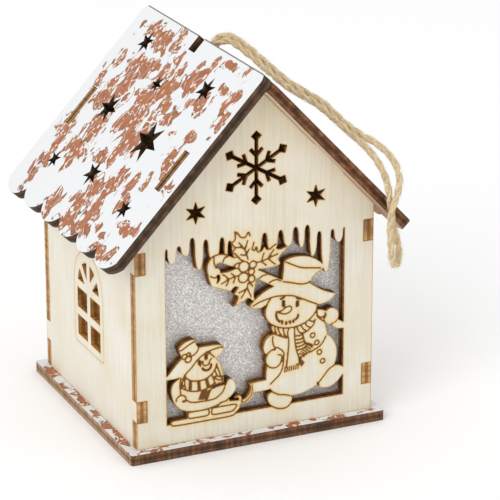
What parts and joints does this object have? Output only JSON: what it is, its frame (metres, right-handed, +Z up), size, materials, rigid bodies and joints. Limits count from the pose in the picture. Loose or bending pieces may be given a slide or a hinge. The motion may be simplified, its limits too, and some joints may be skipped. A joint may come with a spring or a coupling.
{
  "type": "wooden led lamp",
  "caption": "Small house-shaped plywood lamp with a cut-out winter scene, starred snowy roof, cord loop and a round battery light in its base.",
  "frame": {"origin": "middle of the base plate's underside", "axes": "+Z up, front with the scene towards -Y, +X to the right as seen from the front"},
  "size_m": [0.0918, 0.0884, 0.108],
  "materials": {
    "plywood": "raw basswood plywood with burnt cut edges",
    "printed_plywood": "plywood printed with snow over terracotta, edges burnt dark",
    "glitter_film": "silver glitter film",
    "jute": "two-ply twisted jute",
    "case_plastic": "moulded white plastic",
    "plated_steel": "plated steel",
    "board_laminate": "green circuit board",
    "lens_resin": "cast resin, warm white",
    "dark_plastic": "moulded dark plastic"
  },
  "bodies": {
    "house": {"base_plate": "printed_plywood", "front_wall": "plywood", "back_wall": "plywood", "left_wall": "plywood", "right_wall": "plywood", "roof_left": "printed_plywood", "roof_right": "printed_plywood", "glitter_sheet": "glitter_film", "hanging_cord": "jute", "cord_knot": "jute"},
    "light_unit": {"light_case": "case_plastic", "case_floor": "case_plastic", "coin_cell": "plated_steel", "contact_positive": "plated_steel", "contact_negative": "plated_steel", "circuit_board": "board_laminate", "led": "lens_resin", "led_leads": "plated_steel", "switch_body": "plated_steel"},
    "cover": {"battery_cover": "case_plastic", "cover_screw": "plated_steel"},
    "knob": {"switch_knob": "dark_plastic"}
  },
  "joints": [
    {"name": "light_pull", "type": "slide", "parent": "house", "child": "light_unit", "axis": [0, 0, -1], "range_m": [0, 0.02]},
    {"name": "cover_lift", "type": "slide", "parent": "light_unit", "child": "cover", "axis": [0, 0, -1], "range_m": [0, 0.006]},
    {"name": "switch_slide", "type": "slide", "parent": "light_unit", "child": "knob", "axis": [1, 0, 0], "range_m": [0, 0.002]}
  ]
}
